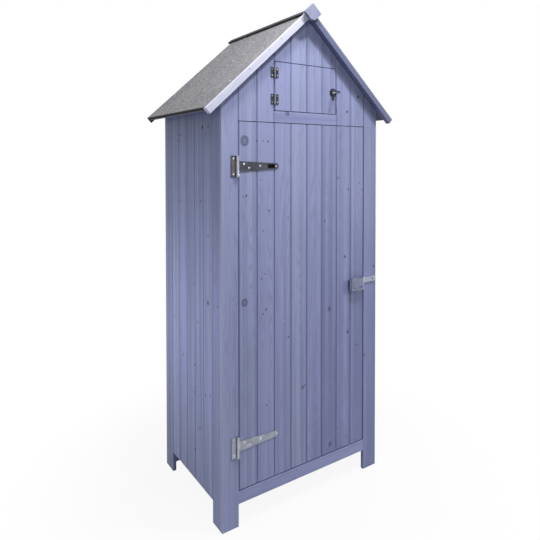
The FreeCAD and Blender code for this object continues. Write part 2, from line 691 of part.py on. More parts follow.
wire_end = Part.Wire([Part.makeCircle(WIRE_R, top_end, top_touch - top_end)])
wire_loop = loop_path.makePipeShell([wire_end], True, False)
wire_loop.rotate(FreeCAD.Vector(latch_x, 0, latch_z), FreeCAD.Vector(0, 1, 0), -LOOP_TURN)
bar_half = TONGUE_BAR_W / 2
bar = box(latch_x - bar_half, latch_x + bar_half, bar_front, bar_back, latch_z - TONGUE_BAR_L, latch_z)
bar = bar.fuse(rod_y(latch_x, latch_z, bar_half, bar_front, bar_back))
latch = rod_y(latch_x, latch_z, SPINDLE_R, collar_front, bar_back)
latch = latch.fuse(rod_y(latch_x, latch_z, COLLAR_R, collar_front, collar_back))
latch = latch.fuse(wire_loop).fuse(bar)
add("small_latch_loop", latch.removeSplitter())

os.makedirs("parts", exist_ok=True)
for name, shape in parts.items():
    shape.exportStep(f"parts/{name}.step")
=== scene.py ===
import math

import bmesh
import bpy
from mathutils import Matrix, Vector


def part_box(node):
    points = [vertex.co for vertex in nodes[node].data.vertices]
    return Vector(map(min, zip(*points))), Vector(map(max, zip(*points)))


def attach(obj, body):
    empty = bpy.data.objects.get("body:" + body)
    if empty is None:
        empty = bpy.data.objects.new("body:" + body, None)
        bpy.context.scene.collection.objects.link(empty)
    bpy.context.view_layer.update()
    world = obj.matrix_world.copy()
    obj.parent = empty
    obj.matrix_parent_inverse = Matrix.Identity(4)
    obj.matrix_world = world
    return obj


# Garden storage cabinet: lilac-blue stained boards, a grey felted roof and small steel fittings.
# Metres. +X is the viewer's right, +Y runs to the back, +Z is up; the doors face -Y.
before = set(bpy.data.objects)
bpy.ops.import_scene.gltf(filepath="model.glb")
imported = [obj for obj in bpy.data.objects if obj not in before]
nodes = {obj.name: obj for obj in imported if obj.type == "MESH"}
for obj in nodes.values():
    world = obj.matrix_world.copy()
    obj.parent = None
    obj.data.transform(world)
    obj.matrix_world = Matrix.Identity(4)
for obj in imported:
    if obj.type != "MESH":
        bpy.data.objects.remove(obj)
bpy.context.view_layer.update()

MM = 0.001
UP = Vector((0, 0, 1))
ACROSS = Vector((1, 0, 0))
DEEP = Vector((0, 1, 0))
OUT = -DEEP

# Faces of the cabinet, the width of their boards, and the edge at which the first board of each starts
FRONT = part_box("front_left_post_face")[0].y
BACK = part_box("back_wall_boards")[1].y
HALF_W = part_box("front_right_post_face")[1].x
BOARD_W = 67 * MM
BACK_BOARD_W = 70 * MM
FRONT_EDGE = -268 * MM
SIDE_EDGE = FRONT + 65 * MM
BACK_EDGE = -280 * MM

# Roof
SLOPE = math.radians(42.5)
APEX_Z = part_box("left_roof_felt")[1].z
ROOF_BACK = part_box("left_roof_felt")[1].y
EAVE_X = 376.9 * MM
EAVE_DOWN_SLOPE = EAVE_X / math.cos(SLOPE)

# Fittings
T_AXIS = -275 * MM
T_MIDS = (260.5 * MM, 1157.5 * MM)
T_PLATE_IN = -13 * MM
T_SHEET = 2 * MM
BUTT_AXIS = -132.75 * MM
BUTT_MIDS = (1378.5 * MM, 1467 * MM)
BUTT_SHEET = 1.5 * MM
LATCH_X = 117 * MM
LATCH_Z = 1418 * MM


def slope_down(side):
    return Vector((side * math.cos(SLOPE), 0, -math.sin(SLOPE)))


def slope_out(side):
    return Vector((side * math.sin(SLOPE), 0, math.cos(SLOPE)))


def colour(code):
    """An sRGB hex value as linear red, green, blue and alpha"""
    parts = [int(code[i : i + 2], 16) / 255 for i in (0, 2, 4)]
    return (*[c / 12.92 if c <= 0.04045 else ((c + 0.055) / 1.055) ** 2.4 for c in parts], 1.0)


def add_node(tree, kind, links=(), out=0, **settings):
    """Adds a node with its settings and returns one of its outputs; links gives sockets values or outputs"""
    made = tree.nodes.new("ShaderNode" + kind)
    for name, value in settings.items():
        setattr(made, name, value)
    for socket, value in dict(links).items():
        if isinstance(value, bpy.types.NodeSocket):
            tree.links.new(value, made.inputs[socket])
        else:
            made.inputs[socket].default_value = value
    return made.outputs[out]


def new_material(name, **sockets):
    """A material with its shader's plain values set, and the object's own coordinates"""
    made = bpy.data.materials.new(name)
    made.use_nodes = True
    shader = made.node_tree.nodes["Principled BSDF"]
    for socket, value in sockets.items():
        shader.inputs[socket.replace("_", " ")].default_value = value
    place = add_node(made.node_tree, "TexCoord", out="Object")
    return made, made.node_tree, shader, place


def dress(material, *names):
    """Gives CAD nodes this material"""
    for name in names:
        slots = nodes[name].data.materials
        slots.clear()
        slots.append(material)


# Spruce boards, planed and brushed with a lilac-blue stain: the eye gets long streaks down each board,
# finer growth lines that bend round dark knots, a satin face that differs board by board in depth and
# hue, and darker bands along the grooves, partly stain that collects there and partly painted shade.
# The fibre marks, under 1 mm on real boards, are drawn 2.4 mm wide to show.
STREAK_W = 19 * MM
STREAK_L = 2200 * MM
VEIN_W = 5.5 * MM
VEIN_L = 800 * MM
FIBRE_W = 2.4 * MM
FIBRE_L = 130 * MM
FIBRE_RELIEF = 0.25 * MM
BLOTCH = 170 * MM
RING_SPACING = 35 * MM
RING_L = 900 * MM
RING_COUNT = 26
RING_DEPTH = 0.3
GROOVE_SHADE = 9 * MM
GROOVE_DEPTH = 0.45

# A board width that takes a whole piece as one board, and the height where the painted light drift adds
# nothing
ONE_BOARD = 10.0
MID_HEIGHT = 0.7

# Knots are dark spots, a little longer than wide, as lengths along the board count 0.85. A knot of 4 mm
# or more pulls the growth lines round it out to four times its radius, and a ringed one has a paler
# heart.
KNOT = "3f4464"
ALONG_COUNTS = 0.85
KNOT_DEPTH = 0.9
RINGED_DEPTH = 0.75
HEART_SHARE = 0.35
BENDING_KNOT = 4
BEND_REACH = 4
BEND = 0.2
KNOT_CELL_W = 60 * MM
KNOT_CELL_L = 310 * MM

# Chips show paler wood, and a band along one edge is painted paler as a painted highlight
CHIP = "c2c6e0"
CHIP_DEPTH = 0.8
EDGE_HIGHLIGHT_DEPTH = 0.18
EDGE_HIGHLIGHT_W = 12 * MM

# Tones of a coat: deep stain, thin stain, growth line, and a violet cast that is stronger on some boards
FULL_COAT = ("6f779c", "a0a8cd", "6a7196", "8c8fc6")
BLOCK_COAT = ("7b7d97", "9a9cb7", "75778f", "8f91b6")
# A deep coat for the roof boards: partly a darker stain, partly painted shade under the eaves
ROOF_SHADE_COAT = ("4a4d66", "666a86", "434660", "5a5c80")
SIDE_COAT = ("6d779f", "9ea8d3", "68719a", "8a8fcb")
THIN_COAT = ("727897", "9ea4be", "666b8a", "8e90ba")
# A pale coat for the left barge board, made paler still as a painted highlight
PALE_HIGHLIGHT_COAT = ("bcbfd6", "e4e6f4", "b4b7d0", "cfcfea")
DEEP_COAT = ("585e7e", "7e84a2", "545a77", "6f729d")


def grain(tree, place, width, length, **values):
    """Noise drawn out along the board"""
    scale = (1 / width, 1 / width, 1 / length)
    drawn = add_node(tree, "VectorMath", {0: place, 1: scale}, operation="MULTIPLY")
    return add_node(tree, "TexNoise", {"Vector": drawn, "Scale": 1.0, **values})


def away_from(tree, flat, across, along):
    """How far each point of a face is from a place on it, given in millimetres"""
    centre = (across * MM, 0, along * MM * ALONG_COUNTS)
    return add_node(tree, "VectorMath", {0: flat, 1: centre}, out="Value", operation="DISTANCE")


def placed_knots(tree, flat, knots, ringed):
    """How dark the knots make the face, and how far they pull the growth lines round them"""
    spot = pull = 0.0
    plain = [(*knot, KNOT_DEPTH)[:4] for knot in knots]
    for u, w, radius, depth in plain + [(*knot, RINGED_DEPTH) for knot in ringed]:
        r = radius * MM
        hollow = (u, w, radius) in ringed
        full = 0.85 * r if hollow else 0.55 * r
        away = away_from(tree, flat, u, w)
        core = add_node(tree, "MapRange", {0: away, 1: r * 1.2, 2: full, 3: 0.0, 4: depth})
        if hollow:
            paler = depth * HEART_SHARE
            heart = add_node(tree, "MapRange", {0: away, 1: r * 0.8, 2: r * 0.4, 3: 0.0, 4: paler})
            core = add_node(tree, "Math", {0: core, 1: heart}, operation="SUBTRACT")
        spot = add_node(tree, "Math", {0: spot, 1: core}, operation="MAXIMUM")
        if radius >= BENDING_KNOT:
            bent = add_node(tree, "MapRange", {0: away, 1: r * BEND_REACH, 2: 0.0, 3: 0.0, 4: BEND})
            pull = add_node(tree, "Math", {0: pull, 1: bent}, operation="MAXIMUM")
    return spot, pull


def scattered_knots(tree, place, share):
    """The same two for small knots that fall by chance, in this share of the cells of a face"""
    scale = (1 / KNOT_CELL_W, 0, 1 / KNOT_CELL_L)
    cells = add_node(tree, "VectorMath", {0: place, 1: scale}, operation="MULTIPLY")
    nearest = add_node(
        tree, "TexVoronoi", {"Vector": cells, "Scale": 1.0, "Randomness": 1.0}, out="Distance"
    )
    lot = add_node(tree, "SeparateColor", {0: nearest.node.outputs["Color"]})
    size = add_node(tree, "MapRange", {0: lot, 1: 1 - share, 2: 1.0, 3: 0.0, 4: 0.1})
    inside = add_node(tree, "Math", {0: size, 1: nearest}, operation="SUBTRACT")
    core = add_node(tree, "MapRange", {0: inside, 1: -0.01, 2: 0.04, 3: 0.0, 4: 0.8})
    bent = add_node(tree, "MapRange", {0: inside, 1: -0.3, 2: 0.1, 3: 0.0, 4: BEND})
    return core, bent


def pale_marks(tree, flat, width_at, chips, highlit_edge):
    """Where the face is paler: chips where the stain is off, and a painted highlight band along an edge"""
    pale = 0.0
    for u, w, radius in chips:
        r = radius * MM
        away = away_from(tree, flat, u, w)
        core = add_node(tree, "MapRange", {0: away, 1: r * 1.2, 2: r * 0.5, 3: 0.0, 4: CHIP_DEPTH})
        pale = add_node(tree, "Math", {0: pale, 1: core}, operation="MAXIMUM")
    if highlit_edge is not None:
        beside = add_node(tree, "Math", {0: width_at, 1: highlit_edge}, operation="SUBTRACT")
        beside = add_node(tree, "Math", {0: beside}, operation="ABSOLUTE")
        wear_and_highlight = {0: beside, 1: EDGE_HIGHLIGHT_W, 2: EDGE_HIGHLIGHT_W / 2, 3: 0.0, 4: EDGE_HIGHLIGHT_DEPTH}
        wear_and_highlight = add_node(tree, "MapRange", wear_and_highlight)
        pale = add_node(tree, "Math", {0: pale, 1: wear_and_highlight}, operation="MAXIMUM")
    return pale


def growth_rings(tree, place, pull):
    """Lines of equal height in a smooth field that the knots pull up"""
    field = grain(tree, place, RING_SPACING, RING_L, Detail=1.0, Roughness=0.4)
    field = add_node(tree, "Math", {0: field, 1: pull}, operation="ADD")
    wave = add_node(tree, "Math", {0: field, 1: RING_COUNT}, operation="MULTIPLY")
    wave = add_node(tree, "Math", {0: wave, 1: 0.5}, operation="PINGPONG")
    return add_node(tree, "MapRange", {0: wave, 1: 0.22, 2: 0.5, 3: 0.0, 4: 1.0})


def groove_shade(tree, step, board_w):
    """Darker beside both edges of each board: a little stain that collects there, and painted shade of the
    grooves
    """
    part = add_node(tree, "Math", {0: step}, operation="FRACT")
    off = add_node(tree, "Math", {0: part, 1: 0.5}, operation="SUBTRACT")
    off = add_node(tree, "Math", {0: off}, operation="ABSOLUTE")
    start = 0.5 - GROOVE_SHADE / board_w
    return add_node(tree, "MapRange", {0: off, 1: start, 2: 0.5, 3: 0.0, 4: GROOVE_DEPTH})


def stain_thinness(tree, laid, place, layers, painted_light_drift):
    """From deep, 0, to thin, 1: long streaks count most, then the other layers by their weights; the painted
    light drift then paints a face paler across and up it
    """
    tone = grain(tree, place, STREAK_W, STREAK_L, Detail=2.0)
    tone = add_node(tree, "Math", {0: tone, 1: 1.5}, operation="MULTIPLY")
    for layer, weight in layers:
        tone = add_node(tree, "Math", {0: layer, 1: weight, 2: tone}, operation="MULTIPLY_ADD")
    drift = (painted_light_drift[0], 0, painted_light_drift[1])
    drift = add_node(tree, "VectorMath", {0: laid, 1: drift}, out="Value", operation="DOT_PRODUCT")
    tone = add_node(tree, "Math", {0: tone, 1: drift}, operation="ADD")
    middle = painted_light_drift[1] * MID_HEIGHT
    return add_node(tree, "MapRange", {0: tone, 1: 1.35 + middle, 2: 2.3 + middle, 3: 0.0, 4: 1.0})


def stained_spruce(
    name, across, along, coat, first=0.0, board_w=ONE_BOARD, seed=0.0, knots=(), ringed=(), chips=(),
    loose_knots=0.0, highlit_edge=None, painted_light_drift=(0.0, 0.0),
):
    """One face's boards. Painted light drift is how much paler it is painted per metre across and along,
    painted light that stands in for the lamps' falloff.
    """
    dark, light, line, violet = [colour(code) for code in coat]
    made, tree, shader, place = new_material(name, Roughness=0.5, IOR=1.45)

    # Place across and along the boards, each board's own random tone, and its own part of the grain
    turn = Matrix((across, along.cross(across), along)).to_euler("XYZ")
    laid = add_node(tree, "Mapping", {"Vector": place, "Rotation": turn})
    width_at = add_node(tree, "SeparateXYZ", {0: laid})
    step = add_node(tree, "Math", {0: width_at, 1: first}, operation="SUBTRACT")
    step = add_node(tree, "Math", {0: step, 1: board_w}, operation="DIVIDE")
    index = add_node(tree, "Math", {0: step}, operation="FLOOR")
    key = add_node(tree, "Math", {0: index, 1: seed + 0.5}, operation="ADD")
    own = add_node(tree, "TexWhiteNoise", {"W": key}, noise_dimensions="1D")
    own_colour = own.node.outputs["Color"]
    shift = add_node(tree, "VectorMath", {0: own_colour, 3: 9.0}, operation="SCALE")
    own_place = add_node(tree, "VectorMath", {0: laid, 1: shift}, operation="ADD")

    # Marks
    flat = add_node(tree, "VectorMath", {0: laid, 1: (1, 0, ALONG_COUNTS)}, operation="MULTIPLY")
    spot, pull = placed_knots(tree, flat, knots, ringed)
    if loose_knots:
        core, bent = scattered_knots(tree, own_place, loose_knots)
        spot = add_node(tree, "Math", {0: spot, 1: core}, operation="MAXIMUM")
        pull = add_node(tree, "Math", {0: pull, 1: bent}, operation="MAXIMUM")
    pale = pale_marks(tree, flat, width_at, chips, highlit_edge)
    rings = growth_rings(tree, own_place, pull)
    lines = add_node(tree, "Math", {0: rings, 1: RING_DEPTH}, operation="MULTIPLY")
    if board_w < ONE_BOARD:
        brim = groove_shade(tree, step, board_w)
        lines = add_node(tree, "Math", {0: lines, 1: brim}, operation="MAXIMUM")

    # Stain
    veins = grain(tree, own_place, VEIN_W, VEIN_L, Detail=2.0)
    fibre = grain(tree, own_place, FIBRE_W, FIBRE_L, Detail=1.0)
    blotch = grain(tree, own_place, BLOTCH, BLOTCH * 2, Detail=2.0)
    layers = ((veins, 0.75), (fibre, 0.4), (blotch, 0.6), (own, 0.45))
    thin = stain_thinness(tree, laid, own_place, layers, painted_light_drift)
    hue = add_node(tree, "SeparateColor", {0: own_colour}, out=1)
    hue = add_node(tree, "Math", {0: hue, 1: 0.6, 2: blotch}, operation="MULTIPLY_ADD")
    hue = add_node(tree, "MapRange", {0: hue, 1: 0.55, 2: 1.05, 3: 0.06, 4: 0.33})
    base = dark
    for share, tone in (
        (thin, light), (hue, violet), (lines, line), (spot, colour(KNOT)), (pale, colour(CHIP))
    ):
        base = add_node(tree, "Mix", {0: share, 6: base, 7: tone}, out=2, data_type="RGBA")
    tree.links.new(base, shader.inputs["Base Color"])
    relief = add_node(tree, "Math", {0: fibre, 1: 0.5, 2: rings}, operation="MULTIPLY_ADD")
    bump = add_node(tree, "Bump", {"Height": relief, "Distance": FIBRE_RELIEF, "Strength": 0.35})
    tree.links.new(bump, shader.inputs["Normal"])
    return made


# Knots and chips as they show on the front and on the left wall: across, along and radius in
# millimetres, and for some a fourth number, how dark they are
FRONT_KNOTS = [
    (-241, 1063, 4), (191, 1070, 4), (260, 1067, 4, 0.5), (141.5, 1112, 6, 0.35), (246, 1092, 4, 0.5),
    (175, 823, 5), (80.5, 960, 3.5), (-79, 982, 3.5, 0.5), (223, 790, 3.5, 0.5), (184, 1354, 5),
    (238, 1412, 6), (-188, 1112, 2.5), (-155.5, 1011, 3), (-177, 945, 2.5), (-170, 803, 2.5),
    (-185, 788, 2.5), (-201, 1240, 3), (-177, 1240, 2.5), (-158.5, 1239, 3.5), (320, 770, 5),
    (-167, 685, 3.5), (-177, 671, 3), (-77, 576, 3.5), (-165, 365, 3), (189, 542, 6), (234, 485, 5, 0.6),
    (274, 437, 5, 0.6), (-17, 387, 6, 0.7), (-9, 392, 4, 0.6), (129, 391, 3, 0.5), (111, 362, 3, 0.5),
    (184, 151, 4, 0.5), (141, 198, 3, 0.5), (-252, 1060, 4, 0.35),
]
FRONT_RINGED = [(-247, 1239, 14.5), (-248, 720, 11), (102, 642, 7.5), (106, 148, 7.5)]
FRONT_CHIPS = [(-294, 1073, 2.2), (83, 1042, 2), (-97.5, 634, 2)]
HEADER_RINGED = [(1333.5, -81, 7)]
BARGE_KNOTS = [(1244, -975, 5, 0.22), (1243, -912, 4, 0.2), (1243, -811, 4, 0.24)]
SIDE_CHIPS = [(-249.5, 55, 2.5)]
SIDE_KNOTS = [
    (-119, 1286, 6), (-163.5, 1287, 5), (70, 1268, 5), (87.5, 1248, 4), (76, 1030, 5), (-105, 1041, 4),
    (-77, 1034, 4, 0.5), (-160, 931, 4), (-48, 750, 4), (-158, 710, 8), (-229, 714, 4), (126, 597, 4),
    (-79, 625, 4), (47, 476, 6, 0.6), (-51, 470, 4), (-47, 374, 4), (-137, 398, 4), (-172, 408, 4),
    (-93, 267, 5), (-53, 175, 4),
]


def dress_front():
    """Posts, gable and doors share one material, so that the painted light drift runs on over all of them"""
    # The front's left edge gets a painted highlight band
    dress(
        stained_spruce(
            "stained_spruce_front_painted_light", ACROSS, UP, FULL_COAT, FRONT_EDGE, BOARD_W, 3.0, FRONT_KNOTS,
            FRONT_RINGED, FRONT_CHIPS, highlit_edge=-HALF_W, painted_light_drift=(-1.5, 0.4),
        ),
        "front_left_post_face", "front_right_post_face", "front_gable_left_boards",
        "front_gable_right_boards", "front_gable_top_boards", "main_door_boards", "small_door_boards",
    )
    dress(
        stained_spruce("stained_spruce_level", UP, ACROSS, FULL_COAT, seed=5.0, ringed=HEADER_RINGED),
        "header_board", "front_bottom_rail",
    )


def dress_walls():
    dress(
        stained_spruce(
            "stained_spruce_back", ACROSS, UP, FULL_COAT, BACK_EDGE, BACK_BOARD_W, 31.0, loose_knots=0.35
        ),
        "back_left_post_face", "back_right_post_face", "back_wall_boards",
    )
    dress(
        stained_spruce(
            "stained_spruce_left", DEEP, UP, SIDE_COAT, SIDE_EDGE, BOARD_W, 57.0, SIDE_KNOTS,
            chips=SIDE_CHIPS,
        ),
        "front_left_post_side", "back_left_post_side", "left_wall_boards",
    )
    dress(
        stained_spruce(
            "stained_spruce_right", DEEP, UP, FULL_COAT, SIDE_EDGE, BOARD_W, 83.0, loose_knots=0.35
        ),
        "front_right_post_side", "back_right_post_side", "right_wall_boards",
    )


def dress_gable_trim():
    """The left barge board has a pale coat, made paler still as painted highlight on its lit top edge and
    face; the right one is stained deeper
    """
    dress(
        stained_spruce(
            "pale_stain_and_highlight_barge", slope_out(-1), slope_down(-1), PALE_HIGHLIGHT_COAT, seed=7.0,
            knots=BARGE_KNOTS,
        ),
        "left_barge_board",
    )
    dress(
        stained_spruce("deep_stained_spruce_barge", slope_out(1), slope_down(1), DEEP_COAT, seed=9.0),
        "right_barge_board",
    )
    dress(stained_spruce("stained_spruce_block", ACROSS, UP, BLOCK_COAT, seed=29.0), "apex_block")


# Inner battens, planks and shelves: sawn spruce with one thin coat, drier and greyer than the outside
def dress_inside():
    dress(
        stained_spruce(
            "thin_stained_battens", ACROSS, UP, THIN_COAT, board_w=50 * MM, seed=11.0, loose_knots=0.3
        ),
        "divider_posts", "main_door_braces",
    )
    dress(
        stained_spruce(
            "thin_stained_rails", DEEP, ACROSS, THIN_COAT, FRONT, 113 * MM, 13.0, loose_knots=0.3
        ),
        "door_lintel", "loft_head_rail", "back_bottom_rail", "back_loft_rail", "floor_boards",
        "loft_floor_boards", "shelf_1", "shelf_2", "shelf_3", "main_door_ledges", "small_door_ledges",
    )
    dress(
        stained_spruce(
            "thin_stained_cross_rails", ACROSS, DEEP, THIN_COAT, board_w=100 * MM, seed=17.0,
            loose_knots=0.3,
        ),
        "left_bottom_rail", "right_bottom_rail", "left_loft_rail", "right_loft_rail", "ridge_beam",
        "shelf_bearers",
    )


# The roof boards' deep coat is partly painted shade on their undersides and ends under the eaves
def dress_roof_wood(side, hand):
    down, out = slope_down(side), slope_out(side)
    dress(
        stained_spruce(f"thin_stained_{hand}_rafters", out, down, THIN_COAT, seed=19.0),
        f"front_{hand}_rafter", f"back_{hand}_rafter",
    )
    dress(
        stained_spruce(
            f"thin_stained_{hand}_roof_boards_painted_shade", down, DEEP, ROOF_SHADE_COAT, board_w=72 * MM, seed=23.0,
            loose_knots=0.4,
        ),
        f"{hand}_roof_panel",
    )


dress_front()
dress_walls()
dress_gable_trim()
dress_inside()
dress_roof_wood(-1, "left")
dress_roof_wood(1, "right")


# Mineral roofing felt, rolled: grey slate grit pressed in bitumen gives a dense matt speckle, and the
# folded edges are near black, partly bare bitumen and partly painted shade under the eaves. The 1 mm grit is
# drawn 3 mm to show.
GRIT = 3 * MM
GRIT_RELIEF = 0.8 * MM
WORN_PATCH = 160 * MM
FOLD_EDGE = 2.7 * MM
FOLD_BITUMEN_AND_SHADE = "0d0e11"


def folded_edges(tree, place):
    """The strips along the eave and the back where the felt is folded down"""
    axes = add_node(tree, "SeparateXYZ", {0: place})
    half = add_node(tree, "Math", {0: axes}, operation="ABSOLUTE")
    run = add_node(tree, "Math", {0: half, 1: math.cos(SLOPE)}, operation="MULTIPLY")
    drop = add_node(tree, "Math", {0: APEX_Z, 1: axes.node.outputs[2]}, operation="SUBTRACT")
    down = add_node(tree, "Math", {0: drop, 1: math.sin(SLOPE), 2: run}, operation="MULTIPLY_ADD")
    eave_at = EAVE_DOWN_SLOPE - FOLD_EDGE
    eave = add_node(tree, "Math", {0: down, 1: eave_at}, operation="GREATER_THAN")
    back_at = ROOF_BACK - FOLD_EDGE
    back = add_node(tree, "Math", {0: axes.node.outputs[1], 1: back_at}, operation="GREATER_THAN")
    return add_node(tree, "Math", {0: eave, 1: back}, operation="MAXIMUM")


def mineral_felt():
    made, tree, shader, place = new_material("mineral_roof_felt", Roughness=0.93, IOR=1.5)
    grit = add_node(tree, "TexNoise", {"Vector": place, "Scale": 1 / GRIT, "Detail": 2.0})
    flecks = add_node(tree, "TexVoronoi", {"Vector": place, "Scale": 0.6 / GRIT}, out="Color")
    fleck = add_node(tree, "SeparateColor", {0: flecks})
    wear_and_highlight = add_node(tree, "TexNoise", {"Vector": place, "Scale": 1 / WORN_PATCH, "Detail": 3.0})
    tone = add_node(tree, "Math", {0: fleck, 1: 0.45, 2: grit}, operation="MULTIPLY_ADD")
    tone = add_node(tree, "Math", {0: wear_and_highlight, 1: 0.35, 2: tone}, operation="MULTIPLY_ADD")
    tone = add_node(tree, "MapRange", {0: tone, 1: 0.65, 2: 1.15, 3: 0.0, 4: 1.0})
    slate = {0: tone, 6: colour("5e5e61"), 7: colour("97979c")}
    base = add_node(tree, "Mix", slate, out=2, data_type="RGBA")
    bitumen_and_shade = {0: folded_edges(tree, place), 6: base, 7: colour(FOLD_BITUMEN_AND_SHADE)}
    base = add_node(tree, "Mix", bitumen_and_shade, out=2, data_type="RGBA")
    tree.links.new(base, shader.inputs["Base Color"])
    bump = add_node(tree, "Bump", {"Height": tone, "Distance": GRIT_RELIEF, "Strength": 0.5})
    tree.links.new(bump, shader.inputs["Normal"])
    return made


# Bitumen strip, hot-laid over the ridge: almost black and matt, with a fine grain
def bitumen_strip():
    made, tree, shader, place = new_material("bitumen_ridge_strip", Roughness=0.9, IOR=1.5)
    lump = 6 * MM
    grit = add_node(tree, "TexNoise", {"Vector": place, "Scale": 1 / lump, "Detail": 4.0})
    tones = {0: grit, 6: colour("141318"), 7: colour("2c2b32")}
    base = add_node(tree, "Mix", tones, out=2, data_type="RGBA")
    tree.links.new(base, shader.inputs["Base Color"])
    bump = add_node(tree, "Bump", {"Height": grit, "Distance": 1 * MM, "Strength": 0.4})
    tree.links.new(bump, shader.inputs["Normal"])
    return made


dress(mineral_felt(), "left_roof_felt", "right_roof_felt")
dress(bitumen_strip(), "ridge_capping")


# Pressed steel sheet and wire with a plated or passivated skin: cloudy patches a few centimetres
# across, and fine drawn scratches that soften the shine. In a zone the skin has another pair of tones.
CLOUD = 20 * MM
SCRATCHES = (120, 1500, 1500)
SHINE_SPREAD = 0.07
SCRATCH_RELIEF = 0.05 * MM


def within_box(tree, place, middle, half_size, soft):
    """1 inside a box and 0 outside it, over a soft rim"""
    off = add_node(tree, "VectorMath", {0: place, 1: middle}, operation="SUBTRACT")
    off = add_node(tree, "VectorMath", {0: off}, operation="ABSOLUTE")
    past = add_node(tree, "VectorMath", {0: off, 1: half_size}, operation="SUBTRACT")
    past = add_node(tree, "SeparateXYZ", {0: past})
    far = add_node(tree, "Math", {0: past, 1: past.node.outputs[1]}, operation="MAXIMUM")
    far = add_node(tree, "Math", {0: far, 1: past.node.outputs[2]}, operation="MAXIMUM")
    return add_node(tree, "MapRange", {0: far, 1: soft, 2: 0.0, 3: 0.0, 4: 1.0})


def plated_steel(name, dark, light, rough, zones=()):
    made, tree, shader, place = new_material(name, Metallic=1.0)
    clouds = add_node(tree, "TexNoise", {"Vector": place, "Scale": 1 / CLOUD, "Detail": 3.0})
    drawn = add_node(tree, "VectorMath", {0: place, 1: SCRATCHES}, operation="MULTIPLY")
    scratches = add_node(tree, "TexNoise", {"Vector": drawn, "Scale": 1.0, "Detail": 2.0})
    tone = add_node(tree, "Math", {0: scratches, 1: 0.4, 2: clouds}, operation="MULTIPLY_ADD")
    tone = add_node(tree, "MapRange", {0: tone, 1: 0.45, 2: 0.95, 3: 0.0, 4: 1.0})
    skin = {0: tone, 6: colour(dark), 7: colour(light)}
    base = add_node(tree, "Mix", skin, out=2, data_type="RGBA")
    for zone_dark, zone_light, middle, half_size, soft in zones:
        within = within_box(tree, place, middle, half_size, soft)
        skin = {0: tone, 6: colour(zone_dark), 7: colour(zone_light)}
        skin = add_node(tree, "Mix", skin, out=2, data_type="RGBA")
        base = add_node(tree, "Mix", {0: within, 6: base, 7: skin}, out=2, data_type="RGBA")
    tree.links.new(base, shader.inputs["Base Color"])
    shine = {0: clouds, 1: 0.3, 2: 0.7, 3: rough - SHINE_SPREAD, 4: rough + SHINE_SPREAD}
    tree.links.new(add_node(tree, "MapRange", shine), shader.inputs["Roughness"])
    bump = add_node(tree, "Bump", {"Height": tone, "Distance": SCRATCH_RELIEF, "Strength": 0.3})
    tree.links.new(bump, shader.inputs["Normal"])
    return made


def half_box(across, deep, high):
    """Half the size of a zone, given in millimetres"""
    return (across * MM, deep * MM, high * MM)


# The T hinges: the lower one is bright, the upper one dark, with a brown patch on its plate that is the
# barrel's painted shadow and a black patch near the strap's tip; both barrels are painted bright as a
# painted highlight.
UPPER_T = Vector((T_AXIS, FRONT, T_MIDS[1]))
T_BARRELS = Vector((T_AXIS, FRONT - 12.4 * MM, 1.0))
t_hinge_zones = (
    ("42444a", "595b63", UPPER_T + 80 * MM * ACROSS, half_box(120, 50, 60), 1 * MM),
    # Painted shadow of the barrel on the upper plate
    ("5f585e", "756c6d", UPPER_T + T_PLATE_IN * ACROSS, half_box(5, 50, 20), 3 * MM),
    ("0c0c0e", "15161a", UPPER_T + 128 * MM * ACROSS, half_box(12.5, 50, 5.5), 1.5 * MM),
    # Painted highlight on both barrels
    ("9498a3", "b4b7c0", T_BARRELS, half_box(5.2, 10, 1000), 0.4 * MM),
)
t_hinge_zinc = plated_steel("zinc_plated_strap_steel", "868a96", "a3a6b2", 0.42, t_hinge_zones)
dress(t_hinge_zinc, "t_hinge_plates", "t_hinge_straps")

# The hasp: a grey leaf tinted lilac as a painted reflection of the stained boards, with its arm painted
# brighter as a painted reflection and its bend as a painted highlight
HASP_BEND = Vector((256 * MM, FRONT - 10 * MM, 725 * MM))
hasp_painted_light_zones = (
    ("9195a8", "a9acbc", HASP_BEND + 40 * MM * ACROSS, half_box(36, 50, 40), 2 * MM),
    ("a0a5c0", "b4b8d0", HASP_BEND, half_box(1.5, 50, 40), 2 * MM),
)
hasp_zinc = plated_steel("hasp_zinc_painted_reflection", "6c7188", "82879e", 0.42, hasp_painted_light_zones)
dress(hasp_zinc, "main_hasp_base", "main_hasp_leaf")

# Turned pins, T hinge screws and clout nails: bright zinc
bright_zinc = plated_steel("bright_zinc_turned_steel", "b9bcc4", "e2e4ea", 0.28)
dress(bright_zinc, "t_hinge_pins", "main_hasp_pin", "butt_hinge_pins")

# The butt hinges and the latch's rose: black, with the hinges' barrels painted brighter as a painted
# highlight
BUTT_BARRELS = Vector((BUTT_AXIS, FRONT - 12 * MM, 1.42))
barrel_highlight_zone = ("70727c", "8d9099", BUTT_BARRELS, half_box(3.1, 10, 100), 0.3 * MM)
dark_steel = plated_steel("black_passivated_steel", "34353d", "55565f", 0.45, (barrel_highlight_zone,))
dress(dark_steel, "butt_hinge_frame_leaves", "butt_hinge_door_leaves", "small_latch_plate")

# The latch's wire: dark drawn steel, with its collar painted brighter as a painted highlight
COLLAR = Vector((LATCH_X, FRONT - 4 * MM, LATCH_Z))
collar_highlight_zone = ("63676c", "8d9193", COLLAR, half_box(9.5, 2.4, 9.5), 0.3 * MM)
wire_steel = plated_steel("grey_drawn_wire_steel", "2e3039", "4c4f59", 0.4, (collar_highlight_zone,))
dress(wire_steel, "small_latch_loop")

# Round nails: galvanised, and dulled by the stain brushed over them
nail_steel = plated_steel("galvanised_nail_steel", "3c4054", "62667c", 0.5)

MERGE = 0.001 * MM


